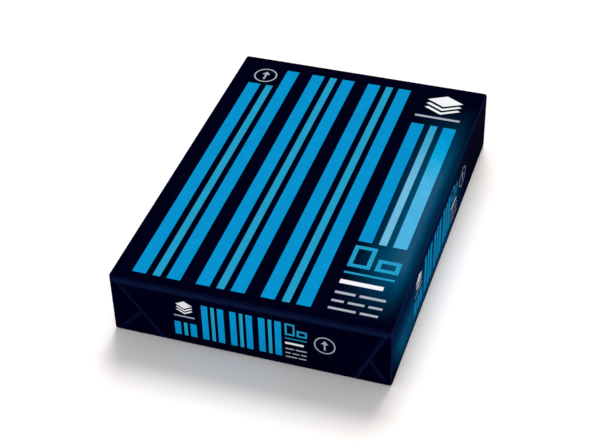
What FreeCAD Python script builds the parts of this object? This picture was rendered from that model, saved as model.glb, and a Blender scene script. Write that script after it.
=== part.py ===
import FreeCAD, Part
import os

import Sketcher

# A ream of A4 copy paper in its sealed printed wrapper, lying flat.
# The wrapper can't be seen into, so the block of sheets and the wrapper round it are one solid.
# Millimetres. +X runs across the sheets, +Y along them and +Z up through the stack.
# The origin is the middle of the underside, and the end that the print reads from is at -Y.

SIZES = {
    "sheet_width": 210.0,
    "sheet_length": 297.0,
    "sheet_count": 500,
    "sheet_caliper": 0.103,
    "wrapper_ply": 0.12,
    # Air between the wrapper and the block's long sides, and between it and the block's faces.
    "side_ease": 0.38,
    "face_ease": 0.13,
    # How far each layer of an end stands out: folded paper springs up past its own thickness.
    "tuck_lift": 0.2,
    "bottom_flap_lift": 0.4,
    "top_flap_lift": 0.4,
    # The wrapper's radius where it turns round the block.
    "fold_radius": 1.2,
    # The top flap stops this far above the rounding of the fold at the underside. The bottom flap
    # reaches up this far. Each slanting side runs this far inwards on the way to its flap's tip.
    "top_flap_gap": 0.8,
    "top_flap_left_run": 36.5,
    "top_flap_right_run": 23.5,
    "bottom_flap_reach": 44.0,
    "bottom_flap_left_run": 41.5,
    "bottom_flap_right_run": 27.0,
    # The wrapper's lap runs the length of the underside. Its cut edge stands one step down from
    # the ply beside it, which eases back to the level of the lap over the ramp.
    "lap_offset": 24.0,
    "lap_step": 0.15,
    "lap_ramp": 14.0,
}

PACK_WIDTH = "(sizes.sheet_width + 2 * (sizes.wrapper_ply + sizes.side_ease))"
PACK_HEIGHT = "(sizes.sheet_count * sizes.sheet_caliper + 2 * (sizes.wrapper_ply + sizes.face_ease))"
TUCKED_LENGTH = "(sizes.sheet_length + 2 * sizes.tuck_lift)"
# A flap's fold starts where the long edges' rounding ends.
FLAP_CORNER = f"({PACK_WIDTH} / 2 - sizes.fold_radius)"

NEAR = 1e-4

doc = FreeCAD.newDocument("ream_of_paper")


def make_sheet():
    """The spreadsheet of driving dimensions: a name and a plain number in each row."""
    sheet = doc.addObject("Spreadsheet::Sheet", "sizes")
    for row, (name, value) in enumerate(SIZES.items(), start=1):
        sheet.set(f"A{row}", name)
        sheet.set(f"B{row}", str(value))
        sheet.setAlias(f"B{row}", name)
    doc.recompute()


def outline(body, name, corners, outward):
    """A closed outline on the body's XZ plane, moved towards -Y by the expression outward.
    corners gives each corner's place across and up as expressions, and the constraints that carry
    them move the corners there from the rough places that the lines are drawn with."""
    sketch = body.newObject("Sketcher::SketchObject", name)
    plane = next(f for f in body.Origin.OriginFeatures if f.Role == "XZ_Plane")
    sketch.AttachmentSupport = [(plane, "")]
    sketch.MapMode = "FlatFace"
    sketch.setExpression("AttachmentOffset.Base.z", outward)
    places = [FreeCAD.Vector(k, k * k, 0) for k in range(len(corners))]
    for k, place in enumerate(places):
        sketch.addGeometry(Part.LineSegment(place, places[(k + 1) % len(places)]), False)
    for k in range(len(corners)):
        sketch.addConstraint(Sketcher.Constraint("Coincident", k, 2, (k + 1) % len(corners), 1))
    for k, (corner, place) in enumerate(zip(corners, places)):
        for way, expression, value in zip(("X", "Y"), corner, place):
            index = sketch.addConstraint(Sketcher.Constraint(f"Distance{way}", -1, 1, k, 1, value))
            sketch.renameConstraint(index, f"corner_{k}_{way}")
            sketch.setExpression(f"Constraints.corner_{k}_{way}", expression)
    return sketch


def pad(body, name, sketch, length, both_ways=False):
    """The outline carried towards -Y by the expression length, or half of it each way."""
    feature = body.newObject("PartDesign::Pad", name)
    feature.Profile = sketch
    if both_ways:
        feature.SideType = "Symmetric"
    feature.setExpression("Length", length)
    return feature


def round_edges(body, name, radius, wanted):
    """A fillet on each edge of the body so far that wanted accepts."""
    doc.recompute()
    base = body.Tip
    found = [f"Edge{k}" for k, edge in enumerate(base.Shape.Edges, start=1) if wanted(edge)]
    feature = body.newObject("PartDesign::Fillet", name)
    feature.Base = (base, found)
    feature.setExpression("Radius", radius)
    return feature


def add_flap(body, name, edge_z, tip_z, left_run, right_run, outer, depth):
    """One end's flap as a four-sided pad, from its fold at the height edge_z to its tip at tip_z.
    outer is how far from the middle of the ream its outside lies, and depth how far it goes back
    in, to fill the rounding of the block behind its fold."""
    corners = [
        (f"-{FLAP_CORNER}", edge_z),
        (f"-{FLAP_CORNER} + {left_run}", tip_z),
        (f"{FLAP_CORNER} - {right_run}", tip_z),
        (FLAP_CORNER, edge_z),
    ]
    sketch = outline(body, f"{name}_outline", corners, f"{outer} - {depth}")
    return pad(body, name, sketch, depth)


def make_ream():
    """The sealed ream: the wrapped block, two flaps at each end and the lap underneath."""
    body = doc.addObject("PartDesign::Body", "wrapped_ream")
    body.Label = "wrapped_ream"

    half = f"{PACK_WIDTH} / 2"
    girth = [(f"-{half}", "0"), (half, "0"), (half, PACK_HEIGHT), (f"-{half}", PACK_HEIGHT)]
    section = outline(body, "girth", girth, "0")
    pad(body, "wrapped_block", section, TUCKED_LENGTH, both_ways=True)
    round_edges(body, "block_folds", "sizes.fold_radius", lambda edge: True)

    bottom_outside = f"({TUCKED_LENGTH} / 2 + sizes.bottom_flap_lift)"
    bottom_flap = add_flap(
        body, "bottom_flap", "0", "sizes.bottom_flap_reach", "sizes.bottom_flap_left_run",
        "sizes.bottom_flap_right_run", bottom_outside, "(sizes.bottom_flap_lift + sizes.fold_radius)",
    )
    top_outside = f"({bottom_outside} + sizes.top_flap_lift)"
    top_flap = add_flap(
        body, "top_flap", PACK_HEIGHT, "sizes.fold_radius + sizes.top_flap_gap",
        "sizes.top_flap_left_run", "sizes.top_flap_right_run", top_outside,
        "(sizes.top_flap_lift + sizes.bottom_flap_lift + sizes.fold_radius)",
    )
    other_end = body.newObject("PartDesign::Mirrored", "other_end_flaps")
    other_end.Originals = [bottom_flap, top_flap]
    other_end.MirrorPlane = (next(f for f in body.Origin.OriginFeatures if f.Role == "XZ_Plane"), [""])
    body.Tip = other_end

    doc.recompute()
    box = body.Shape.BoundBox

    def is_fold(edge):
        """The edge where a flap turns over the top or the underside: it runs across the ream."""
        ends = [vertex.Point for vertex in edge.Vertexes]
        if len(ends) != 2 or abs(ends[0].y - ends[1].y) > NEAR or abs(ends[0].x - ends[1].x) < 1:
            return False
        return any(all(abs(p.z - z) < NEAR for p in ends) for z in (box.ZMin, box.ZMax))

    round_edges(body, "flap_folds", "sizes.fold_radius", is_fold)

    lap = [
        ("sizes.lap_offset", "0"),
        ("sizes.lap_offset", "sizes.lap_step"),
        ("sizes.lap_offset - sizes.lap_ramp", "0"),
    ]
    lap_section = outline(body, "lap_section", lap, "0")
    lap_edge = body.newObject("PartDesign::Pocket", "lap_edge")
    lap_edge.Profile = lap_section
    lap_edge.SideType = "Symmetric"
    lap_edge.Type = "ThroughAll"
    doc.recompute()
    return body


def save(bodies):
    """Checks every feature and each solid, then writes one STEP file for each body."""
    failed = [o.Name for o in doc.Objects if {"Invalid", "Error"} & set(o.State)]
    if failed:
        raise RuntimeError(f"these features failed: {failed}")
    os.makedirs("parts", exist_ok=True)
    for body in bodies:
        if body.Shape.isNull() or not body.Shape.isValid() or len(body.Shape.Solids) != 1:
            raise RuntimeError(f"{body.Label} isn't one valid solid")
        body.Shape.exportStep(f"parts/{body.Label}.step")
        box = body.Shape.BoundBox
        print(body.Label, round(box.XLength, 3), round(box.YLength, 3), round(box.ZLength, 3),
              "volume", round(body.Shape.Volume, 1), "faces", len(body.Shape.Faces))


make_sheet()
save([make_ream()])
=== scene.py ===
import math
from functools import reduce

import bpy
from mathutils import Matrix, Vector, noise


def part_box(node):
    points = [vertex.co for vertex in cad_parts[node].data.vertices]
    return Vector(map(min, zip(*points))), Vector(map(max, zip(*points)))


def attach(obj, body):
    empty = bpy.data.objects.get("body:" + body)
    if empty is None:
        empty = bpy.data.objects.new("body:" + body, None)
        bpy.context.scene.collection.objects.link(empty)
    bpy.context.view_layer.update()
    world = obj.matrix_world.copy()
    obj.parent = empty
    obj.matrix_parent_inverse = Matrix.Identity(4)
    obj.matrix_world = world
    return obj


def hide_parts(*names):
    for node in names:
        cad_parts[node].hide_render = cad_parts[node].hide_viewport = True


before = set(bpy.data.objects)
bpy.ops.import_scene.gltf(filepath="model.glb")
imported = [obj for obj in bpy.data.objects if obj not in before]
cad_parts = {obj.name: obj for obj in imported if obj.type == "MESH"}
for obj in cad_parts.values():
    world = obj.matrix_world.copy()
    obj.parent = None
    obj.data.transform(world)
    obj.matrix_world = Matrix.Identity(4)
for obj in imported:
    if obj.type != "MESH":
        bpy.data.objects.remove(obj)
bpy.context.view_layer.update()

# A sealed ream of copy paper lying flat on a pale floor.
# Metres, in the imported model's own frame. The print's places are in millimetres, because the
# print is laid out in them. The end that the print reads from is at -Y.

MM = 0.001
LOW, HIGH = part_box("wrapped_ream")
WIDTH, LENGTH, HEIGHT = HIGH - LOW

# The wrapper's radius where it turns round the block, and the layers at each end: the tucked
# sides lie deepest, the bottom flap over them and the top flap over both. The runs are how far a
# flap's left and right sides slant inwards on the way to its tip.
FOLD_RADIUS = 1.2 * MM
BOTTOM_FLAP_LIFT = 0.4 * MM
TOP_FLAP_LIFT = 0.4 * MM
TUCKED_LENGTH = LENGTH - 2 * (BOTTOM_FLAP_LIFT + TOP_FLAP_LIFT)
TOP_FLAP_GAP = 0.8 * MM
TOP_FLAP_RUNS = (36.5 * MM, 23.5 * MM)
BOTTOM_FLAP_REACH = 44.0 * MM
BOTTOM_FLAP_RUNS = (41.5 * MM, 27.0 * MM)
FLAP_THICKNESS = 0.5 * MM
# The lap underneath: where its cut edge lies, how far the ply beside it steps up, and the ramp
# over which that ply eases back.
LAP_OFFSET = 24.0 * MM
LAP_STEP = 0.15 * MM
LAP_RAMP = 14.0 * MM

# The photograph's viewpoint: degrees, metres from the aim point, and millimetres of lens and sensor.
CAMERA_AZIMUTH = 19.012
CAMERA_ELEVATION = 39.442
CAMERA_ROLL = -1.660
CAMERA_DISTANCE = 1.1784
CAMERA_AIM = (-0.01026, -0.00030, 0.00378)
CAMERA_LENS = 89.04
CAMERA_SENSOR = 36

# The kinds of node that the trees are mostly made of. Map Range takes its value at socket 0 and
# the limits that it goes from and to at 1 to 4, or at 6 and 7 to 10 for vectors. Mix takes its
# share at 0, and what it mixes at 2 and 3, or at 6 and 7 for colours.
MATH = "ShaderNodeMath"
VECTOR_MATH = "ShaderNodeVectorMath"
SEPARATE = "ShaderNodeSeparateXYZ"
COMBINE = "ShaderNodeCombineXYZ"
MAP_RANGE = "ShaderNodeMapRange"
MIX = "ShaderNodeMix"
NOISE = "ShaderNodeTexNoise"


def linear(code):
    """An sRGB hex colour as the linear values that a socket takes."""
    parts = [int(code[k:k + 2], 16) / 255 for k in (1, 3, 5)]
    return (*[c / 12.92 if c <= 0.04045 else ((c + 0.055) / 1.055) ** 2.4 for c in parts], 1.0)


def add(tree, kind, inputs=None, out=0, **settings):
    """Adds a node with its settings. inputs maps a socket's index or name to a value or to the
    socket that feeds it. Gives back the output out, by number or name, where the node has any."""
    node = tree.nodes.new(kind)
    for name, value in settings.items():
        setattr(node, name, value)
    for key, value in (inputs or {}).items():
        if isinstance(value, bpy.types.NodeSocket):
            tree.links.new(value, node.inputs[key])
        else:
            node.inputs[key].default_value = value
    return node.outputs[out] if node.outputs else None


def new_tree(name, kind, inputs, outputs):
    """A node group with named inputs and outputs, each given as a name and a socket kind such as
    Vector. Gives back the tree, the sockets that bring its inputs and those that take its outputs."""
    tree = bpy.data.node_groups.new(name, kind)
    for label, socket in inputs:
        tree.interface.new_socket(label, in_out="INPUT", socket_type=f"NodeSocket{socket}")
    for label, socket in outputs:
        tree.interface.new_socket(label, in_out="OUTPUT", socket_type=f"NodeSocket{socket}")
    return tree, tree.nodes.new("NodeGroupInput").outputs, tree.nodes.new("NodeGroupOutput").inputs


# Camera, light and floor

# The floor's own pale colour, what it shows of the light on it where it is the background, a
# little warm, and the fill light that reaches it from all round.
FLOOR_COLOUR = "#E9E9EA"
FLOOR_SHOWN = (1.17, 1.135, 1.117)
FILL_STRENGTH = 0.43
# The floor reaches this far each way, and lies this far under the pack, so that the two don't mix.
FLOOR_REACH = 12.0
FLOOR_SINK = 0.2 * MM
# The sun lights, as the direction towards each, what it adds to a level surface, and its width in
# degrees. The key stands behind the pack, and a broad low one lights its front.
SUNS = {
    "key_light": ((-0.08, 0.67, 0.74), 0.525, 31),
    "front_light": ((0.0, -0.98, 0.12), 0.066, 36),
}


def set_camera():
    """The photograph's camera, turned round the aim point."""
    azimuth, elevation, roll = map(math.radians, (CAMERA_AZIMUTH, CAMERA_ELEVATION, CAMERA_ROLL))
    level = Vector((math.cos(azimuth), math.sin(azimuth), 0))
    back = Vector((
        math.cos(elevation) * math.sin(azimuth),
        -math.cos(elevation) * math.cos(azimuth),
        math.sin(elevation),
    ))
    upright = back.cross(level)
    right = math.cos(roll) * level + math.sin(roll) * upright
    up = back.cross(right)
    camera = bpy.data.objects.new("camera", bpy.data.cameras.new("camera"))
    camera.data.lens = CAMERA_LENS
    camera.data.sensor_width = CAMERA_SENSOR
    turn = Matrix((right, up, back)).transposed().to_4x4()
    camera.matrix_world = Matrix.Translation(Vector(CAMERA_AIM) + back * CAMERA_DISTANCE) @ turn
    bpy.context.collection.objects.link(camera)
    bpy.context.scene.camera = camera


def seen_directly(tree):
    """1 for rays that show the background: straight from the camera, or by way of gloss or glass."""
    path = add(tree, "ShaderNodeLightPath").node.outputs
    shown = add(tree, MATH, {0: path["Is Camera Ray"], 1: path["Is Glossy Ray"]}, operation="MAXIMUM")
    return add(tree, MATH, {0: shown, 1: path["Is Transmission Ray"]}, operation="MAXIMUM")


def set_surround():
    """A surround that shows as white and lights the scene with the fill alone."""
    world = bpy.data.worlds.new("studio")
    world.use_nodes = True
    tree = world.node_tree
    tree.nodes.clear()
    strength = add(tree, MAP_RANGE, {0: seen_directly(tree), 3: FILL_STRENGTH, 4: 1.0})
    shade = add(tree, "ShaderNodeBackground", {0: (1, 1, 1, 1), 1: strength})
    add(tree, "ShaderNodeOutputWorld", {0: shade})
    bpy.context.scene.world = world


def set_suns():
    """The two soft lights."""
    for name, (direction, share, width) in SUNS.items():
        sun = bpy.data.objects.new(name, bpy.data.lights.new(name, "SUN"))
        towards = Vector(direction).normalized()
        sun.data.energy = math.pi * share / towards.z
        sun.data.angle = math.radians(width)
        sun.rotation_euler = towards.to_track_quat("Z", "Y").to_euler()
        bpy.context.collection.objects.link(sun)


def set_floor():
    """A matt painted floor, which shows as white in full light and keeps the pack's shadow."""
    material = bpy.data.materials.new("pale painted floor")
    material.use_nodes = True
    tree = material.node_tree
    tree.nodes.clear()
    colour = add(tree, MIX, {
        0: seen_directly(tree),
        6: linear(FLOOR_COLOUR),
        7: (*FLOOR_SHOWN, 1),
    }, out=2, data_type="RGBA")
    add(tree, "ShaderNodeOutputMaterial", {0: add(tree, "ShaderNodeBsdfDiffuse", {0: colour})})
    mesh = bpy.data.meshes.new("floor")
    ways = ((-1, -1), (1, -1), (1, 1), (-1, 1))
    corners = [(x * FLOOR_REACH, y * FLOOR_REACH, -FLOOR_SINK) for x, y in ways]
    mesh.from_pydata(corners, [], [(0, 1, 2, 3)])
    mesh.materials.append(material)
    floor = bpy.data.objects.new("floor", mesh)
    bpy.context.collection.objects.link(floor)


# Where the print lies
# Each panel is laid out in millimetres from its own top left corner, across and down.

HALF_ACROSS, HALF_ALONG, TALL = WIDTH / MM / 2, LENGTH / MM / 2, HEIGHT / MM
# The ink's edge is soft by this much each way, and a rhomb's by this share of its size.
INK_EDGE = 0.12
RHOMB_EDGE = 0.02
# Further than any panel reaches.
FAR = 400.0
# The stripes of one group at the top panel's size, each as where it starts and stops across.
WIDE_STRIPES = ((0, 10.5), (26.4, 36.9))
NARROW_STRIPES = ((15.7, 21.5),)
# The groups of each panel: where the first starts, how far apart they are, how many there are,
# their scale, how far down the stripes start and stop, and the areas that they leave bare. On top
# the first group gives way to the ring mark, and the last to the emblem and the label.
TOP_PANEL = {
    "first": 14.9, "pitch": 48.75, "groups": 4, "scale": 1.0, "down": (13.2, 289.6),
    "bare": (((0, 39.0), (0, 38.4)), ((155, FAR), (0, 56.8)), ((155, FAR), (211.6, FAR))),
}
END_PANEL = {
    "first": 48.8, "pitch": 21.5, "groups": 4, "scale": 0.46, "down": (11.0, 43.6),
    "bare": (((40, 68.0), (0, 31.2)),),
}
# The bare margins beside a panel's groups end and start this far to the left of where a group
# would start, clear of its first stripe's soft edge.
MARGIN_GAP = 1
# The long sides carry the ends' print, spread out along them from this place and a little higher.
SIDE_SPREAD = 1.33
SIDE_START = 3.0
SIDE_RAISE = 2.6

# The small shapes at the top panel's size. The emblem is a stack of three sheets, drawn as rhombs:
# half of a rhomb's size, the middle of the top one, the step from each to the next, the gap that
# keeps them apart, and how many times wider that gap is across than down.
SHEET_HALF = (14.8, 7.7)
SHEET_MIDDLE = (19.5, 11.5)
SHEET_STEP = 5.6
SHEET_GAP = 2.8
GAP_SLANT = 1.9
# Under the emblem is a bar. The label is two sheet outlines, a thin bar, a bold bar and rows of
# short bars.
EMBLEM_BAR = ((0, 37), (34.6, 37.1))
SHEET_OUTLINES = (((0, 17), (0, 24)), ((20.5, 38), (11, 24)))
OUTLINE_STROKE = 3.4
THIN_BAR = ((0, 37.5), (29.6, 31.6))
BOLD_BAR = ((0, 32), (38.8, 43.0))
SHORT_BARS = (
    ((0, 15), (51.5, 54.0)), ((18, 37), (51.5, 54.0)),
    ((0, 9), (60.5, 62.7)), ((12, 24), (60.5, 62.7)), ((27, 37), (60.5, 62.7)),
    ((0, 20), (68.5, 70.7)), ((23, 36), (68.5, 70.7)),
)
# The corners of the emblem and of the label, their scale across and down, and the middle and
# radius of the ring mark.
TOP_MARKS = {
    "emblem": (161.0, 9.5), "label": (161.0, 216.5), "scale": (1.0, 1.0),
    "ring": ((25.4, 25.0), 9.2),
}
PANEL_MARKS = {
    "emblem": (48.9, 8.8), "label": (133.0, 11.2), "scale": (0.43, END_PANEL["scale"]),
    "ring": ((162.3, 25.2), 7.4),
}
# The ring mark in shares of its radius: half its line, then the arrow's stem and its head, each as
# how far it reaches to the sides, above the middle and below it. The head is the part of a rhomb
# that lies in the last area.
RING_LINE = 0.065
ARROW_STEM = (0.09, 0.2, 0.6)
ARROW_RHOMB = (0.38, 0.6, 0.3)
ARROW_HEAD_AREA = (1.0, 1.0, -0.15)

# The fades, each as where it starts and ends, and from how much to how much if not from 0 to 1.
# The top's painted sheen, a soft glow that stands in for a reflection, lies on its right, and fades
# again at the fold and towards both ends.
TOP_SHEEN_ACROSS = (158.0, 199.0)
TOP_SHEEN_FOLD = (201.0, 209.5, 1.0, 0.3)
TOP_SHEEN_FAR_END = (15.0, 135.0)
TOP_SHEEN_NEAR_END = (297.0, 225.0)
# The right side's painted sheen, the same soft glow, starts along a slant at the near corner, where
# one millimetre along counts as this many up.
SIDE_SHEEN_SLANT = 1.3
SIDE_SHEEN_NEAR_END = (8.0, 52.0)
SIDE_SHEEN_FAR_END = (240.0, 150.0)
SIDE_SHEEN_TOP = (4.0, 32.0, 0.3, 1.0)
SIDE_SHEEN_FOOT = (38.0, 52.0, 1.0, 0.7)
# A painted highlight: the lighter band just under the fold at each end's top, where the wrapper's
# rounding would catch the light.
HIGHLIGHT_BAND_TOP = (0.2, 2.8)
HIGHLIGHT_BAND_FOOT = (7.4, 3.8)
# Painted sheen: the top's glow lightens the last group's right stripes towards the label.
STRIPE_SHEEN_ACROSS = (172.0, 178.0)
WIDE_STRIPE_SHEEN_DOWN = (55.0, 140.0)
NARROW_STRIPE_SHEEN_DOWN = (48.0, 142.0)

# The inks, and the painted sheen and painted highlights laid among them

NAVY = "#010116"
# The painted sheen's colours from its edge to its brightest, on the top and on the right side: a soft
# reflection painted over the navy ink.
TOP_PAINTED_SHEEN = ((0.0, NAVY), (0.45, "#002E4A"), (0.7, "#003F5F"), (0.88, "#0A4566"), (1.0, "#1C4F6E"))
SIDE_PAINTED_SHEEN = ((0.0, NAVY), (0.3, "#001840"), (0.44, "#00244B"), (0.8, "#003B5C"), (1.0, "#09517A"))
STRIPE = "#0790CB"
NARROW_STRIPE = "#229BC4"
# Painted sheen over the stripes: each ink lightening into a soft reflection.
WIDE_STRIPE_SHEEN = (
    (0.0, STRIPE), (0.29, "#049FD3"), (0.5, "#0FA5D7"), (0.8, "#35ABD9"), (1.0, "#4DB1DF"),
)
NARROW_STRIPE_SHEEN = ((0.0, NARROW_STRIPE), (1.0, "#6EB8DB"))
BARE_PAPER = "#F1F3F5"
GREY_INK = "#A9B0BC"
# A painted highlight under each end's top fold.
FOLD_PAINTED_HIGHLIGHT = "#091633"
# The folds' lighter line: rubbed ink, and a painted highlight where the rounded fold would catch the
# light.
CREASE_RUB_AND_HIGHLIGHT = "#111F44"
# The small print on the ends and sides is drawn fainter, and this much of its ink shows.
SMALL_PRINT_SHARE = 0.86

# The paper's detail: how wide it is in millimetres, and how strong. A noise's values lie mostly
# between the first two limits, and two noises added lie mostly between the second two.
NOISE_LOW, NOISE_HIGH = 0.3, 0.7
TWO_NOISES_LOW, TWO_NOISES_HIGH = 0.7, 1.3
# Fibres are about 0.4 mm wide, and are drawn three times as coarse so that they show.
FIBRE_WIDTH = 1.2
COCKLE_WIDTH = 14.0
COCKLE_SHARE = 3.0
RELIEF = 0.03 * MM
RELIEF_STRENGTH = 0.25
# The ink varies by this share of itself, over the fibres and in patches.
INK_PATCH_WIDTH = 7.0
INK_VARIATION = 0.07
# The folds' rubbed ink and painted highlight is a broken line, and this much of it is left where
# it is faintest.
RUB_LENGTH = 3.0
RUB_FAINTEST = 0.45
ROUGHNESS_LOW, ROUGHNESS_HIGH = 0.62, 0.76
# The dark faces show no gloss in the photograph, so the coat keeps next to none.
COAT_GLOSS = 0.0005


def shape_tree(name):
    """A node group for a printed shape, with how far a place is from its centre, across and down."""
    tree, ins, outs = new_tree(
        name, "ShaderNodeTree",
        [("Place", "Vector"), ("Centre", "Vector"), ("Half Size", "Vector")], [("Inside", "Float")],
    )
    away = add(tree, VECTOR_MATH, {0: ins["Place"], 1: ins["Centre"]}, operation="SUBTRACT")
    return tree, ins, outs, add(tree, VECTOR_MATH, {0: away}, operation="ABSOLUTE")


def box_group():
    """1 inside a box of print and 0 outside it, with the ink's edge between."""
    tree, ins, outs, away = shape_tree("printed box")
    past = add(tree, VECTOR_MATH, {0: away, 1: ins["Half Size"]}, operation="SUBTRACT")
    across, down, _ = add(tree, SEPARATE, {0: past}).node.outputs
    furthest = add(tree, MATH, {0: across, 1: down}, operation="MAXIMUM")
    inside = add(tree, MAP_RANGE, {0: furthest, 1: INK_EDGE, 2: -INK_EDGE})
    tree.links.new(inside, outs["Inside"])
    return tree


def rhomb_group():
    """1 inside a rhomb of print, whose half size is its reach along each diagonal."""
    tree, ins, outs, away = shape_tree("printed rhomb")
    share = add(tree, VECTOR_MATH, {0: away, 1: ins["Half Size"]}, operation="DIVIDE")
    across, down, _ = add(tree, SEPARATE, {0: share}).node.outputs
    total = add(tree, MATH, {0: across, 1: down}, operation="ADD")
    inside = add(tree, MAP_RANGE, {0: total, 1: 1 + RHOMB_EDGE, 2: 1 - RHOMB_EDGE})
    tree.links.new(inside, outs["Inside"])
    return tree


def printed(tree, group, place, across, down):
    """A shape of print that spans from across[0] to across[1] and from down[0] to down[1]."""
    return add(tree, "ShaderNodeGroup", {
        "Place": place,
        "Centre": (sum(across) / 2, sum(down) / 2, 0),
        "Half Size": ((across[1] - across[0]) / 2, (down[1] - down[0]) / 2, 1),
    }, node_tree=group)


def either(tree, masks):
    """Where any of the masks is set."""
    return reduce(lambda a, b: add(tree, MATH, {0: a, 1: b}, operation="MAXIMUM"), masks)


def both(tree, masks):
    """Where all of the masks are set."""
    return reduce(lambda a, b: add(tree, MATH, {0: a, 1: b}, operation="MULTIPLY"), masks)


def outside(tree, mask):
    """Where the mask isn't set."""
    return add(tree, MATH, {0: 1.0, 1: mask}, operation="SUBTRACT")


def fade(tree, place, start, end, low=0.0, high=1.0):
    """Goes from low at start to high at end, with a soft turn at both. end may be before start."""
    return add(tree, MAP_RANGE, {
        0: place, 1: start, 2: end, 3: low, 4: high,
    }, interpolation_type="SMOOTHSTEP")


def ink_into_painted_sheen(tree, amount, stops):
    """A colour that goes through the stops as amount goes from 0 to 1: from an ink into painted sheen
    over it.
    """
    colour = add(tree, "ShaderNodeValToRGB", {0: amount})
    elements = colour.node.color_ramp.elements
    while len(elements) < len(stops):
        elements.new(0.5)
    for element, (position, code) in zip(elements, stops):
        element.position = position
        element.color = linear(code)
    return colour


def laid_over(tree, under, over, mask):
    """One colour over another where the mask is full."""
    return add(tree, MIX, {0: mask, 6: under, 7: over}, out=2, data_type="RGBA")


def motif_group(box, rhomb):
    """The small printed shapes: a stack of sheets over a bar, two sheet outlines over a thin bar,
    and rows of plain bars."""
    tree, ins, outs = new_tree(
        "printed motifs", "ShaderNodeTree",
        [("Emblem Place", "Vector"), ("Label Place", "Vector")],
        [("Cyan", "Float"), ("White", "Float"), ("Grey", "Float")],
    )
    emblem, label = ins["Emblem Place"], ins["Label Place"]

    def sheet(level, gap=0.0):
        """The stack's sheet at a level, counted down from 0, and grown by a gap."""
        x, y = SHEET_MIDDLE[0], SHEET_MIDDLE[1] + level * SHEET_STEP
        across, down = SHEET_HALF[0] + GAP_SLANT * gap, SHEET_HALF[1] + gap
        return printed(tree, rhomb, emblem, (x - across, x + across), (y - down, y + down))

    stack = [sheet(0)]
    for level in (1, 2):
        stack.append(both(tree, [sheet(level), outside(tree, sheet(level - 1, SHEET_GAP))]))
    outlines = []
    for area in SHEET_OUTLINES:
        inner = [(low + OUTLINE_STROKE, high - OUTLINE_STROKE) for low, high in area]
        hollow = outside(tree, printed(tree, box, label, *inner))
        outlines.append(both(tree, [printed(tree, box, label, *area), hollow]))
    short_bars = [printed(tree, box, label, *bar) for bar in SHORT_BARS]
    inks = {
        "Cyan": [*outlines, printed(tree, box, label, *THIN_BAR)],
        "White": [*stack, printed(tree, box, label, *BOLD_BAR)],
        "Grey": [printed(tree, box, emblem, *EMBLEM_BAR), *short_bars],
    }
    for name, shapes in inks.items():
        tree.links.new(either(tree, shapes), outs[name])
    return tree


def stripes(tree, box, place, panel):
    """The panel's wide stripes and its narrow ones, without the panel's bare areas."""
    across, down, _ = add(tree, SEPARATE, {0: place}).node.outputs
    across = add(tree, MATH, {0: across, 1: panel["first"]}, operation="SUBTRACT")
    across = add(tree, MATH, {0: across, 1: panel["pitch"]}, operation="MODULO")
    across = add(tree, MATH, {0: across, 1: panel["scale"]}, operation="DIVIDE")
    local = add(tree, COMBINE, {0: across, 1: down})
    start = panel["first"] - MARGIN_GAP
    stop = start + panel["groups"] * panel["pitch"]
    margins = (((-FAR, start), (-FAR, FAR)), ((stop, FAR), (-FAR, FAR)))
    bare = [printed(tree, box, place, *area) for area in (*panel["bare"], *margins)]
    kept = outside(tree, either(tree, bare))
    found = []
    for bars in (WIDE_STRIPES, NARROW_STRIPES):
        shapes = [printed(tree, box, local, bar, panel["down"]) for bar in bars]
        found.append(both(tree, [either(tree, shapes), kept]))
    return found


def ring_mark(tree, box, rhomb, place, middle, radius):
    """A thin ring round an arrow that points up."""
    away = add(tree, VECTOR_MATH, {0: place, 1: (*middle, 0)}, operation="SUBTRACT")
    away = add(tree, VECTOR_MATH, {0: away}, out="Value", operation="LENGTH")
    off = add(tree, MATH, {0: away, 1: radius}, operation="SUBTRACT")
    off = add(tree, MATH, {0: off}, operation="ABSOLUTE")
    line = RING_LINE * radius
    ring = add(tree, MAP_RANGE, {0: off, 1: line + INK_EDGE, 2: line - INK_EDGE})

    def part(group, sides, above, below):
        """A shape of the arrow, in shares of the radius."""
        return printed(
            tree, group, place,
            (middle[0] - sides * radius, middle[0] + sides * radius),
            (middle[1] - above * radius, middle[1] + below * radius),
        )

    head = both(tree, [part(rhomb, *ARROW_RHOMB), part(box, *ARROW_HEAD_AREA)])
    return either(tree, [ring, part(box, *ARROW_STEM), head])


def panel_masks(tree, x, y, z):
    """Which panel a point is on, by name. Each limit is where the wrapper is half way round its
    fold. The sides are the long ones, and panel is any end or side."""
    turn = (1 - math.sqrt(0.5)) * FOLD_RADIUS / MM
    end_depth = turn + (BOTTOM_FLAP_LIFT + TOP_FLAP_LIFT) / MM
    on = {
        "top": add(tree, MATH, {0: z, 1: TALL - turn}, operation="GREATER_THAN"),
        "right": add(tree, MATH, {0: x, 1: HALF_ACROSS - turn}, operation="GREATER_THAN"),
        "left": add(tree, MATH, {0: x, 1: turn - HALF_ACROSS}, operation="LESS_THAN"),
        "back": add(tree, MATH, {0: y, 1: HALF_ALONG - end_depth}, operation="GREATER_THAN"),
        "front": add(tree, MATH, {0: y, 1: end_depth - HALF_ALONG}, operation="LESS_THAN"),
    }
    upright = outside(tree, on["top"])
    on["end"] = both(tree, [either(tree, [on["front"], on["back"]]), upright])
    on["side"] = both(tree, [either(tree, [on["left"], on["right"]]), outside(tree, on["end"]), upright])
    on["panel"] = either(tree, [on["end"], on["side"]])
    return on


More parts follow.
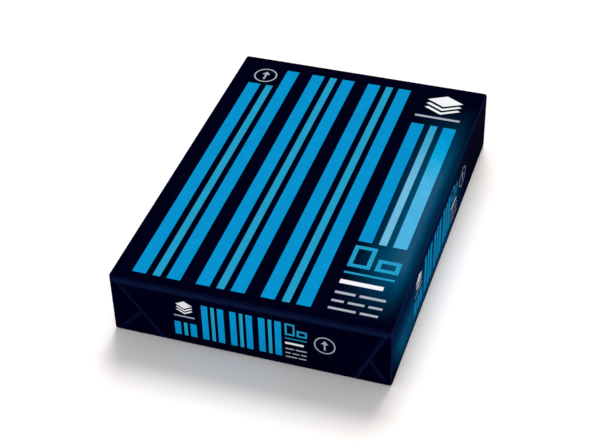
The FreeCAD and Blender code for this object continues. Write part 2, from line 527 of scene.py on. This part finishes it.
def panel_places(tree, x, y, z, on):
    """Places on the panels by name: across and down the top, and both as one place, down an end or
    side, its print's place, and along the pack from its front."""
    # The back and the left side are read the other way along.
    end_way = outside(tree, add(tree, MATH, {0: on["back"], 1: 2.0}, operation="MULTIPLY"))
    side_way = outside(tree, add(tree, MATH, {0: on["left"], 1: 2.0}, operation="MULTIPLY"))
    end_across = add(tree, MATH, {0: x, 1: end_way, 2: HALF_ACROSS}, operation="MULTIPLY_ADD")
    side_across = add(tree, MATH, {
        0: y, 1: side_way, 2: HALF_ALONG + SIDE_START,
    }, operation="MULTIPLY_ADD")
    side_across = add(tree, MATH, {0: side_across, 1: SIDE_SPREAD}, operation="DIVIDE")
    across = add(tree, MIX, {0: on["side"], 2: end_across, 3: side_across})
    down = add(tree, MATH, {0: TALL, 1: z}, operation="SUBTRACT")
    print_down = add(tree, MATH, {0: on["side"], 1: SIDE_RAISE, 2: down}, operation="MULTIPLY_ADD")
    top_across = add(tree, MATH, {0: x, 1: HALF_ACROSS}, operation="ADD")
    top_down = add(tree, MATH, {0: HALF_ALONG, 1: y}, operation="SUBTRACT")
    return {
        "top across": top_across,
        "top down": top_down,
        "top": add(tree, COMBINE, {0: top_across, 1: top_down}),
        "down": down,
        "panel": add(tree, COMBINE, {0: across, 1: print_down}),
        "along": add(tree, MATH, {0: y, 1: HALF_ALONG}, operation="ADD"),
    }


def navy_with_painted_light(tree, z, on, at):
    """The wrapper's navy ink, with a painted sheen, a soft glow that stands in for a reflection, on
    the right of the top and along the right side, and a painted highlight, a faint lighter band, under
    the fold at each end's top."""
    # Painted sheen: a soft glow that stands in for a reflection, on the top's right and the right side.
    top_painted_sheen = both(tree, [
        fade(tree, at["top across"], *TOP_SHEEN_ACROSS),
        fade(tree, at["top across"], *TOP_SHEEN_FOLD),
        fade(tree, at["top down"], *TOP_SHEEN_FAR_END),
        fade(tree, at["top down"], *TOP_SHEEN_NEAR_END),
        on["top"],
    ])
    slant = add(tree, MATH, {0: at["along"], 1: SIDE_SHEEN_SLANT, 2: z}, operation="MULTIPLY_ADD")
    side_painted_sheen = both(tree, [
        fade(tree, slant, *SIDE_SHEEN_NEAR_END),
        fade(tree, at["along"], *SIDE_SHEEN_FAR_END),
        fade(tree, at["down"], *SIDE_SHEEN_TOP),
        fade(tree, at["down"], *SIDE_SHEEN_FOOT),
        on["side"], on["right"],
    ])
    # Painted highlight: a lighter band under the fold at each end's top.
    band = both(tree, [
        fade(tree, at["down"], *HIGHLIGHT_BAND_TOP), fade(tree, at["down"], *HIGHLIGHT_BAND_FOOT), on["end"],
    ])
    top, side = ink_into_painted_sheen(tree, top_painted_sheen, TOP_PAINTED_SHEEN), ink_into_painted_sheen(tree, side_painted_sheen, SIDE_PAINTED_SHEEN)
    return laid_over(tree, laid_over(tree, top, side, on["side"]), linear(FOLD_PAINTED_HIGHLIGHT), band)


def striped(tree, colour, box, on, at):
    """The colour with the stripes of every panel laid over it, and a painted sheen that lightens the
    last group's right stripes on the top.
    """
    top, panel = stripes(tree, box, at["top"], TOP_PANEL), stripes(tree, box, at["panel"], END_PANEL)
    # Painted sheen: the last group's right stripes lighten towards the label.
    pale = both(tree, [fade(tree, at["top across"], *STRIPE_SHEEN_ACROSS), on["top"]])
    looks = ((WIDE_STRIPE_SHEEN_DOWN, WIDE_STRIPE_SHEEN), (NARROW_STRIPE_SHEEN_DOWN, NARROW_STRIPE_SHEEN))
    for on_top, on_panel, (sheen_down, stops) in zip(top, panel, looks):
        shape = either(tree, [both(tree, [on_top, on["top"]]), both(tree, [on_panel, on["panel"]])])
        amount = both(tree, [pale, fade(tree, at["top down"], *sheen_down)])
        colour = laid_over(tree, colour, ink_into_painted_sheen(tree, amount, stops), shape)
    return colour


def marked(tree, colour, box, rhomb, on, at):
    """The colour with the emblem, label and ring mark of every panel laid over it."""
    motifs = motif_group(box, rhomb)
    faint = add(tree, MATH, {0: on["panel"], 1: SMALL_PRINT_SHARE}, operation="MULTIPLY")
    cyan, white, grey, rings = [], [], [], []
    for place, marks, shown in ((at["top"], TOP_MARKS, on["top"]), (at["panel"], PANEL_MARKS, faint)):
        local = []
        for name in ("emblem", "label"):
            spot = add(tree, VECTOR_MATH, {0: place, 1: (*marks[name], 0)}, operation="SUBTRACT")
            scale = (*marks["scale"], 1)
            local.append(add(tree, VECTOR_MATH, {0: spot, 1: scale}, operation="DIVIDE"))
        inputs = {"Emblem Place": local[0], "Label Place": local[1]}
        masks = add(tree, "ShaderNodeGroup", inputs, node_tree=motifs).node.outputs
        for found, mask in zip((cyan, white, grey), masks):
            found.append(both(tree, [mask, shown]))
        rings.append(both(tree, [ring_mark(tree, box, rhomb, place, *marks["ring"]), shown]))
    inks = ((cyan, NARROW_STRIPE), (white, BARE_PAPER), ([*grey, *rings], GREY_INK))
    for masks, ink in inks:
        colour = laid_over(tree, colour, linear(ink), either(tree, masks))
    return colour


def printed_wrapper():
    """Coated wrapping paper, offset printed. The flat ink gives clean fields of deep colour with
    hardly any gloss, over fine fibres, and it is rubbed lighter along the folds, where a painted
    highlight lies too. A painted sheen lies on the top's right and along the right side."""
    material = bpy.data.materials.new("printed wrapping paper")
    material.use_nodes = True
    tree = material.node_tree
    tree.nodes.clear()
    box, rhomb = box_group(), rhomb_group()

    coordinate = add(tree, "ShaderNodeTexCoord", out="Object")
    place = add(tree, VECTOR_MATH, {0: coordinate, "Scale": 1 / MM}, operation="SCALE")
    x, y, z = add(tree, SEPARATE, {0: place}).node.outputs
    on = panel_masks(tree, x, y, z)
    at = panel_places(tree, x, y, z, on)
    colour = navy_with_painted_light(tree, z, on, at)
    colour = striped(tree, colour, box, on, at)
    colour = marked(tree, colour, box, rhomb, on, at)

    # The folds: ink rubbed lighter, with a painted highlight, in a broken line. A cut edge shows the
    # paper's white core.
    crease = add(tree, "ShaderNodeAttribute", out="Fac", attribute_name="crease")
    rub = add(tree, NOISE, {0: place, "Scale": 1 / RUB_LENGTH, "Detail": 3.0})
    rub = add(tree, MAP_RANGE, {0: rub, 1: NOISE_LOW, 2: NOISE_HIGH, 3: RUB_FAINTEST, 4: 1.0})
    colour = laid_over(tree, colour, linear(CREASE_RUB_AND_HIGHLIGHT), both(tree, [crease, rub]))
    cut = add(tree, "ShaderNodeAttribute", out="Fac", attribute_name="cut")
    colour = laid_over(tree, colour, linear(BARE_PAPER), cut)

    # The ink lies a little unevenly over the fibres.
    fibre = add(tree, NOISE, {0: place, "Scale": 1 / FIBRE_WIDTH, "Detail": 4.0, "Roughness": 0.6})
    patch = add(tree, NOISE, {0: place, "Scale": 1 / INK_PATCH_WIDTH, "Detail": 2.0})
    laid = add(tree, MATH, {0: fibre, 1: patch}, operation="ADD")
    laid = add(tree, MAP_RANGE, {
        0: laid,
        1: TWO_NOISES_LOW,
        2: TWO_NOISES_HIGH,
        3: 1 - INK_VARIATION,
        4: 1 + INK_VARIATION,
    })
    colour = add(tree, MIX, {
        0: 1.0, 6: colour, 7: laid,
    }, out=2, data_type="RGBA", blend_type="MULTIPLY")

    # Fibres and a wider cockle raise the surface, and the fibres make it rougher in places.
    cockle = add(tree, NOISE, {0: place, "Scale": 1 / COCKLE_WIDTH, "Detail": 2.0})
    relief = add(tree, MATH, {0: cockle, 1: COCKLE_SHARE, 2: fibre}, operation="MULTIPLY_ADD")
    bump = add(tree, "ShaderNodeBump", {
        "Strength": RELIEF_STRENGTH, "Distance": RELIEF, "Height": relief,
    })
    rough = add(tree, MAP_RANGE, {
        0: fibre, 1: NOISE_LOW, 2: NOISE_HIGH, 3: ROUGHNESS_LOW, 4: ROUGHNESS_HIGH,
    })
    shade = add(tree, "ShaderNodeBsdfPrincipled", {
        "Base Color": colour,
        "Roughness": rough,
        "Specular IOR Level": COAT_GLOSS,
        "Normal": bump,
    })
    add(tree, "ShaderNodeOutputMaterial", {0: shade})
    return material


# The block's shape

# The cube's grid has this many rows each way, of which so many make half a fold, and the flat rows
# crowd towards the folds by this power.
SLEEVE_ROWS = (97.0, 137.0, 41.0)
FOLD_ROWS = 3
CROWDING = 1.35
# The flats' ripples, and the pulls that fan out from the corners of the top.
RIPPLE_HEIGHT = 0.16 * MM
RIPPLE_WIDTH = 42 * MM
PULL_HEIGHT = 0.12 * MM
PULL_REACH = 11 * MM
# Pulls to a full turn, so that a corner's quarter turn has about three, how far the ripples' noise
# bends them, and the share of their reach over which they start.
PULL_COUNT = 13.0
PULL_BEND = 9.0
PULL_START = 0.3
# Ripples are full this far inside a corner of the flats, and die out towards every edge.
RIPPLE_GUARD = 8 * MM
# Where a fold's crease starts and where it is full, as the product of the two parts of the way
# that it faces. Half way round, that is 0.5.
CREASE_START, CREASE_FULL = 0.05, 0.45
# The upward part of a direction, past which it counts as facing up or down.
FACES_UP = 0.9
FACES_DOWN = -0.5


def rounded_grid(tree, ins):
    """Spreads the cube's grid over a block with rounded folds. Gives back each point's place, the
    way that it faces, the same without its signs, how far inside the flats' edges it lies, and
    half the size of the flats."""
    spot = add(tree, "GeometryNodeInputPosition")
    side = add(tree, VECTOR_MATH, {0: spot}, operation="SIGN")
    share = add(tree, VECTOR_MATH, {0: spot}, operation="ABSOLUTE")
    segments = add(tree, VECTOR_MATH, {0: ins["Rows"], 1: (1, 1, 1)}, operation="SUBTRACT")
    fold_rows = add(tree, MATH, {0: ins["Fold Rows"], 1: 2.0}, operation="MULTIPLY")
    fold_share = add(tree, VECTOR_MATH, {0: fold_rows, 1: segments}, operation="DIVIDE")
    flat_share = add(tree, VECTOR_MATH, {0: (1, 1, 1), 1: fold_share}, operation="SUBTRACT")
    radius = ins["Fold Radius"]
    half = add(tree, VECTOR_MATH, {0: ins["Size"], 1: (0.5, 0.5, 0.5)}, operation="MULTIPLY")
    flat_half = add(tree, VECTOR_MATH, {0: half, 1: radius}, operation="SUBTRACT")

    # The flats, with their rows closer together towards the folds.
    inward = add(tree, MAP_RANGE, {
        6: share, 8: flat_share, 9: (1, 1, 1), 10: (0, 0, 0),
    }, out="Vector", data_type="FLOAT_VECTOR")
    inward = add(tree, VECTOR_MATH, {0: inward, 1: ins["Crowding"]}, operation="POWER")
    flat = add(tree, VECTOR_MATH, {0: (1, 1, 1), 1: inward}, operation="SUBTRACT")
    flat = add(tree, VECTOR_MATH, {0: flat_half, 1: flat}, operation="MULTIPLY")
    # The fold rows, at equal angles up to the middle of the fold.
    angle = add(tree, MAP_RANGE, {
        6: share, 7: flat_share, 8: (1, 1, 1), 9: (0, 0, 0), 10: (math.pi / 4,) * 3,
    }, out="Vector", data_type="FLOAT_VECTOR")
    slope = add(tree, VECTOR_MATH, {0: angle}, operation="TANGENT")
    spread = add(tree, VECTOR_MATH, {0: radius, 1: slope}, operation="MULTIPLY")
    spread = add(tree, VECTOR_MATH, {0: flat, 1: spread}, operation="ADD")
    inner = add(tree, VECTOR_MATH, {0: spread, 1: flat_half}, operation="MINIMUM")
    outward = add(tree, VECTOR_MATH, {0: spread, 1: inner}, operation="SUBTRACT")
    outward = add(tree, VECTOR_MATH, {0: outward}, operation="NORMALIZE")
    rounded = add(tree, VECTOR_MATH, {0: outward, 1: radius, 2: inner}, operation="MULTIPLY_ADD")
    rounded = add(tree, VECTOR_MATH, {0: side, 1: rounded}, operation="MULTIPLY")
    facing = add(tree, VECTOR_MATH, {0: side, 1: outward}, operation="MULTIPLY")
    depth = add(tree, VECTOR_MATH, {0: flat_half, 1: inner}, operation="SUBTRACT")
    return rounded, facing, outward, depth, flat_half


def products(tree, vector):
    """The three products of two of a vector's parts."""
    a, b, c = add(tree, SEPARATE, {0: vector}).node.outputs
    return [add(tree, MATH, {0: p, 1: q}, operation="MULTIPLY") for p, q in ((a, b), (b, c), (c, a))]


def corner_pulls(tree, ins, depth, wave, upward):
    """Fine pulls in the paper that fan out from the corners of the top."""
    across, along, _ = add(tree, SEPARATE, {0: depth}).node.outputs
    fan = add(tree, MATH, {0: across, 1: along}, operation="ARCTAN2")
    reach = add(tree, MATH, {0: across, 1: across}, operation="MULTIPLY")
    reach = add(tree, MATH, {0: along, 1: along, 2: reach}, operation="MULTIPLY_ADD")
    reach = add(tree, MATH, {0: reach}, operation="SQRT")
    share = add(tree, MATH, {0: reach, 1: ins["Pull Reach"]}, operation="DIVIDE")
    start = add(tree, MATH, {0: share, 1: PULL_START}, operation="DIVIDE")
    start = add(tree, MATH, {0: start, 1: 1.0}, operation="MINIMUM")
    dying = add(tree, MATH, {0: share, 1: -1.0}, operation="MULTIPLY")
    dying = add(tree, MATH, {0: dying}, operation="EXPONENT")
    bend = add(tree, MATH, {0: wave, 1: PULL_BEND}, operation="MULTIPLY")
    turned = add(tree, MATH, {0: fan, 1: PULL_COUNT, 2: bend}, operation="MULTIPLY_ADD")
    pull = add(tree, MATH, {0: turned}, operation="SINE")
    # None lie along the folds themselves.
    clear = add(tree, MATH, {0: fan, 1: 2.0}, operation="MULTIPLY")
    clear = add(tree, MATH, {0: clear}, operation="SINE")
    on_top = add(tree, MATH, {0: upward, 1: FACES_UP}, operation="GREATER_THAN")
    for factor in (dying, start, ins["Pull Height"], clear, on_top):
        pull = add(tree, MATH, {0: pull, 1: factor}, operation="MULTIPLY")
    return pull


def lap_climb(tree, ins, rounded, flat_half, underneath):
    """How far the paper underneath rises over the ramp to pass behind the lap."""
    across = add(tree, SEPARATE, {0: rounded})
    edge = add(tree, SEPARATE, {0: flat_half})
    ramp_start = add(tree, MATH, {0: ins["Lap Offset"], 1: ins["Lap Ramp"]}, operation="SUBTRACT")
    climb = fade(tree, across, ramp_start, ins["Lap Offset"], 0.0, ins["Lap Step"])
    settle_start = add(tree, MATH, {0: edge, 1: ins["Lap Ramp"]}, operation="SUBTRACT")
    settle = fade(tree, across, settle_start, edge, 1.0, 0.0)
    climb = add(tree, MATH, {0: climb, 1: settle}, operation="MULTIPLY")
    return add(tree, MATH, {0: climb, 1: underneath}, operation="MULTIPLY")


def wrapped_block_tree():
    """A block with rounded folds. A cube's grid is spread so that its outer rows make the folds,
    and its faces then ripple a little, as paper drawn tight round a stack does."""
    tree, ins, outs = new_tree(
        "wrapped block", "GeometryNodeTree",
        [
            ("Size", "Vector"), ("Fold Radius", "Float"), ("Rows", "Vector"), ("Fold Rows", "Int"),
            ("Crowding", "Float"), ("Ripple Height", "Float"), ("Ripple Width", "Float"),
            ("Pull Height", "Float"), ("Pull Reach", "Float"), ("Lap Offset", "Float"),
            ("Lap Step", "Float"), ("Lap Ramp", "Float"), ("Material", "Material"),
        ],
        [("Geometry", "Geometry")],
    )
    rows = add(tree, SEPARATE, {0: ins["Rows"]}).node.outputs
    cube = add(tree, "GeometryNodeMeshCube", {
        "Size": (2, 2, 2), "Vertices X": rows[0], "Vertices Y": rows[1], "Vertices Z": rows[2],
    })
    rounded, facing, outward, depth, flat_half = rounded_grid(tree, ins)
    upward = add(tree, SEPARATE, {0: facing}, out="Z")

    # How much a point belongs to a fold: 0 on the flats and 1 half way round. The material draws
    # rubbed ink and a painted highlight by it.
    fold = reduce(lambda a, b: add(tree, MATH, {0: a, 1: b}, operation="ADD"), products(tree, outward))
    crease = add(tree, MAP_RANGE, {0: fold, 1: CREASE_START, 2: CREASE_FULL})

    # Ripples die out at the folds and underneath, where the weight of the sheets presses them flat.
    where = add(tree, VECTOR_MATH, {0: rounded, 1: ins["Ripple Width"]}, operation="DIVIDE")
    wave = add(tree, NOISE, {0: where, "Scale": 1.0, "Detail": 2.0})
    wave = add(tree, MATH, {0: wave, 1: 0.5}, operation="SUBTRACT")
    ripple = add(tree, MATH, {0: wave, 1: 2.0}, operation="MULTIPLY")
    ripple = add(tree, MATH, {0: ripple, 1: ins["Ripple Height"]}, operation="MULTIPLY")
    pairs = products(tree, depth)
    guard = reduce(lambda a, b: add(tree, MATH, {0: a, 1: b}, operation="MAXIMUM"), pairs)
    guard = add(tree, MATH, {0: guard}, operation="SQRT")
    guard = add(tree, MATH, {0: guard, 1: RIPPLE_GUARD}, operation="DIVIDE")
    guard = add(tree, MATH, {0: guard, 1: 1.0}, operation="MINIMUM")
    pull = corner_pulls(tree, ins, depth, wave, upward)
    lift = add(tree, MATH, {0: ripple, 1: guard, 2: pull}, operation="MULTIPLY_ADD")
    flat = add(tree, MATH, {0: 1.0, 1: crease}, operation="SUBTRACT")
    free = add(tree, MATH, {0: upward, 1: FACES_DOWN}, operation="GREATER_THAN")
    for factor in (flat, free):
        lift = add(tree, MATH, {0: lift, 1: factor}, operation="MULTIPLY")
    shaped = add(tree, VECTOR_MATH, {0: facing, 1: lift, 2: rounded}, operation="MULTIPLY_ADD")

    # The block stands on its underside.
    underneath = add(tree, MATH, {0: upward, 1: FACES_DOWN}, operation="LESS_THAN")
    climb = lap_climb(tree, ins, rounded, flat_half, underneath)
    height = add(tree, SEPARATE, {0: ins["Size"]}, out="Z")
    rise = add(tree, MATH, {0: height, 1: 0.5, 2: climb}, operation="MULTIPLY_ADD")
    rise = add(tree, COMBINE, {2: rise})
    shaped = add(tree, VECTOR_MATH, {0: shaped, 1: rise}, operation="ADD")

    mesh = add(tree, "GeometryNodeStoreNamedAttribute", {0: cube, "Name": "crease", "Value": crease})
    mesh = add(tree, "GeometryNodeSetPosition", {0: mesh, "Position": shaped})
    mesh = add(tree, "GeometryNodeSetShadeSmooth", {0: mesh})
    mesh = add(tree, "GeometryNodeRealizeInstances", {0: mesh})
    mesh = add(tree, "GeometryNodeSetMaterial", {0: mesh, "Material": ins["Material"]})
    tree.links.new(mesh, outs["Geometry"])
    return tree


def new_carrier(mesh):
    """An object that carries a mesh until its modifiers are applied."""
    carrier = bpy.data.objects.new("carrier", mesh)
    bpy.context.collection.objects.link(carrier)
    return carrier


def plain_object(name, carrier):
    """The carrier's evaluated mesh as a plain object of that name. The carrier is deleted."""
    bpy.context.view_layer.update()
    graph = bpy.context.evaluated_depsgraph_get()
    mesh = bpy.data.meshes.new_from_object(carrier.evaluated_get(graph), depsgraph=graph)
    bpy.data.objects.remove(carrier)
    mesh.name = name
    piece = bpy.data.objects.new(name, mesh)
    bpy.context.collection.objects.link(piece)
    return piece


def sleeve(material):
    """The wrapper round the block, with its sides tucked in at the ends."""
    tree = wrapped_block_tree()
    carrier = new_carrier(bpy.data.meshes.new("carrier"))
    modifier = carrier.modifiers.new("shape", "NODES")
    modifier.node_group = tree
    values = {
        "Size": (WIDTH, TUCKED_LENGTH, HEIGHT),
        "Fold Radius": FOLD_RADIUS,
        "Rows": SLEEVE_ROWS,
        "Fold Rows": FOLD_ROWS,
        "Crowding": CROWDING,
        "Ripple Height": RIPPLE_HEIGHT,
        "Ripple Width": RIPPLE_WIDTH,
        "Pull Height": PULL_HEIGHT,
        "Pull Reach": PULL_REACH,
        "Lap Offset": LAP_OFFSET,
        "Lap Step": LAP_STEP,
        "Lap Ramp": LAP_RAMP,
        "Material": material,
    }
    for item in tree.interface.items_tree:
        if item.in_out == "INPUT":
            modifier[item.identifier] = values[item.name]
    return plain_object("wrapper_sleeve", carrier)


# The flaps and the lap

# A sheet's rim is softened by this share of its thickness, where it turns by more than this angle.
RIM_SHARE = 0.3
RIM_SEGMENTS = 2
RIM_ANGLE = 60
# A flap's grid: steps round its fold, rows from there to its tip, which crowd towards the tip by
# this power, and columns between its slanting edges.
ARC_STEPS = 8
FLAP_ROWS = 26
FLAP_CROWDING = 1.3
FLAP_COLUMNS = 70
# Columns beside each slanting edge, as distances in from it, and how creased each is. The crease
# draws rubbed ink and a painted highlight along the edge.
EDGE_COLUMNS = (
    (0.0, 0.5), (0.6 * MM, 0.6), (1.5 * MM, 0.52), (2.8 * MM, 0.24), (4.2 * MM, 0.0),
)
# How much the ink is rubbed, with a painted highlight, where an end's flap turns over the top or
# the underside.
FOLD_RUB_AND_HIGHLIGHT = 0.4
# A flap's root starts inside the block, this deep and this far back from where the block's own
# fold starts. It comes level with the block's face this far on from there.
ROOT_DEPTH = 0.25 * MM
ROOT_BACK = 0.5 * MM
ROOT_LEVEL = 0.2 * MM
# A flap waves by this much, over these widths across and up, and its tip stands off a little. Both
# start over this length from the fold. The seeds give each flap its own wave.
WAVE_HEIGHT = 0.10 * MM
WAVE_ACROSS = 38 * MM
WAVE_UP = 26 * MM
TIP_LIFT = 0.06 * MM
WAVE_START = 8 * MM
BOTTOM_FLAP_SEED = 3
TOP_FLAP_SEED = 7
# The lap's grid, and how much of its width shows the cut.
LAP_ROWS = 60
LAP_COLUMN = 8 * MM
CUT_WIDTH = 0.15 * MM


def sheet_object(name, rows, flip, material, thickness):
    """A thin closed sheet from rows of points, each a place, how creased it is and whether it is a
    cut edge. The thickness goes in behind the rows' own surface, and the rim is softened."""
    columns = len(rows[0])
    quads = []
    for i in range(len(rows) - 1):
        for j in range(columns - 1):
            a, b = i * columns + j, (i + 1) * columns + j
            quads.append((a, b, b + 1, a + 1) if flip else (a, a + 1, b + 1, b))
    points = [point for row in rows for point in row]
    mesh = bpy.data.meshes.new("carrier")
    mesh.from_pydata([point[0] for point in points], [], quads)
    for label, k in (("crease", 1), ("cut", 2)):
        layer = mesh.attributes.new(label, "FLOAT", "POINT")
        layer.data.foreach_set("value", [point[k] for point in points])
    mesh.materials.append(material)
    mesh.shade_smooth()
    carrier = new_carrier(mesh)
    solid = carrier.modifiers.new("plies", "SOLIDIFY")
    solid.thickness = thickness
    solid.offset = -1
    soft = carrier.modifiers.new("soft rim", "BEVEL")
    soft.width = RIM_SHARE * thickness
    soft.segments = RIM_SEGMENTS
    soft.limit_method = "ANGLE"
    soft.angle_limit = math.radians(RIM_ANGLE)
    return plain_object(name, carrier)


def flap_path(way, edge_z, tip_z, stands_out):
    """A flap's line from its root round its fold to its tip: how far out and how high each row is,
    how creased, and how freely it hangs."""
    centre_y = stands_out - FOLD_RADIUS
    centre_z = edge_z + way * FOLD_RADIUS
    block_y = TUCKED_LENGTH / 2 - FOLD_RADIUS
    path = [
        (block_y - ROOT_BACK, edge_z + way * ROOT_DEPTH, 0.0, 0.0),
        (block_y + ROOT_LEVEL, edge_z, 0.0, 0.0),
    ]
    for k in range(ARC_STEPS + 1):
        angle = math.pi / 2 * k / ARC_STEPS
        path.append((
            centre_y + FOLD_RADIUS * math.sin(angle),
            centre_z - way * FOLD_RADIUS * math.cos(angle),
            FOLD_RUB_AND_HIGHLIGHT * math.sin(2 * angle),
            0.0,
        ))
    for k in range(1, FLAP_ROWS + 1):
        share = 1 - (1 - k / FLAP_ROWS) ** FLAP_CROWDING
        z = centre_z + (tip_z - centre_z) * share
        path.append((stands_out, z, 0.0, min(1.0, abs(z - centre_z) / WAVE_START)))
    return path


def flap_columns(left, right):
    """Where a flap's columns lie between its two slanting edges, and how creased each is."""
    inner = EDGE_COLUMNS[-1][0]
    between = right - left - 2 * inner
    places = [(left + step, edge) for step, edge in EDGE_COLUMNS]
    places += [(left + inner + between * k / FLAP_COLUMNS, 0.0) for k in range(1, FLAP_COLUMNS)]
    places += [(right - step, edge) for step, edge in reversed(EDGE_COLUMNS)]
    return places


def end_flap(name, end, way, edge_z, tip_z, stands_out, runs, material, seed):
    """A flap at one end, from its fold round the edge at edge_z to its tip. end is -1 at the front
    and 1 at the back. way is -1 for a flap that comes down and 1 for one that goes up."""
    corner = WIDTH / 2 - FOLD_RADIUS
    rows = []
    for y, z, crease, hang in flap_path(way, edge_z, tip_z, stands_out):
        share = max(0.0, (z - edge_z) / (tip_z - edge_z))
        row = []
        for x, edge in flap_columns(-corner + runs[0] * share, corner - runs[1] * share):
            wave = noise.noise(Vector((x / WAVE_ACROSS, z / WAVE_UP, seed)))
            lift = hang * (WAVE_HEIGHT * wave + TIP_LIFT * share)
            row.append(((x, end * (y + lift), z), max(crease, edge * hang), 0.0))
        rows.append(row)
    return sheet_object(name, rows, end * way > 0, material, FLAP_THICKNESS)


def lap_ply(material):
    """The outer ply of the lap underneath, whose cut edge runs the length of the pack."""
    sink_start, sink_end = WIDTH / 2 - 2 * LAP_RAMP, WIDTH / 2 - LAP_RAMP
    columns = 1 + int((sink_start - LAP_OFFSET) / LAP_COLUMN)
    stops = [(LAP_OFFSET, 0.0, 1.0), (LAP_OFFSET + CUT_WIDTH, 0.0, 0.0)]
    stops += [(LAP_OFFSET + LAP_COLUMN * k, 0.0, 0.0) for k in range(1, columns)]
    stops += [(sink_start, 0.0, 0.0), (sink_end, 2 * LAP_STEP, 0.0)]
    reach = TUCKED_LENGTH / 2 - FOLD_RADIUS
    rows = [
        [((x, -reach + 2 * reach * k / LAP_ROWS, z), 0.0, cut) for x, z, cut in stops]
        for k in range(LAP_ROWS + 1)
    ]
    return sheet_object("underside_lap", rows, True, material, 2 * LAP_STEP)


def wrapper(material):
    """Every piece of the wrapper, in the order that it is folded."""
    pieces = [sleeve(material), lap_ply(material)]
    bottom_out = TUCKED_LENGTH / 2 + BOTTOM_FLAP_LIFT
    top_out = bottom_out + TOP_FLAP_LIFT
    top_tip = FOLD_RADIUS + TOP_FLAP_GAP
    for end, label in ((-1, "front"), (1, "back")):
        pieces.append(end_flap(
            f"{label}_bottom_flap", end, 1, 0.0, BOTTOM_FLAP_REACH, bottom_out,
            BOTTOM_FLAP_RUNS, material, BOTTOM_FLAP_SEED + end,
        ))
        pieces.append(end_flap(
            f"{label}_top_flap", end, -1, HEIGHT, top_tip, top_out,
            TOP_FLAP_RUNS, material, TOP_FLAP_SEED + end,
        ))
    return pieces


bpy.context.scene.view_settings.view_transform = "Standard"
set_camera()
set_surround()
set_suns()
set_floor()
for piece in wrapper(printed_wrapper()):
    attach(piece, "root")
    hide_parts("wrapped_ream")
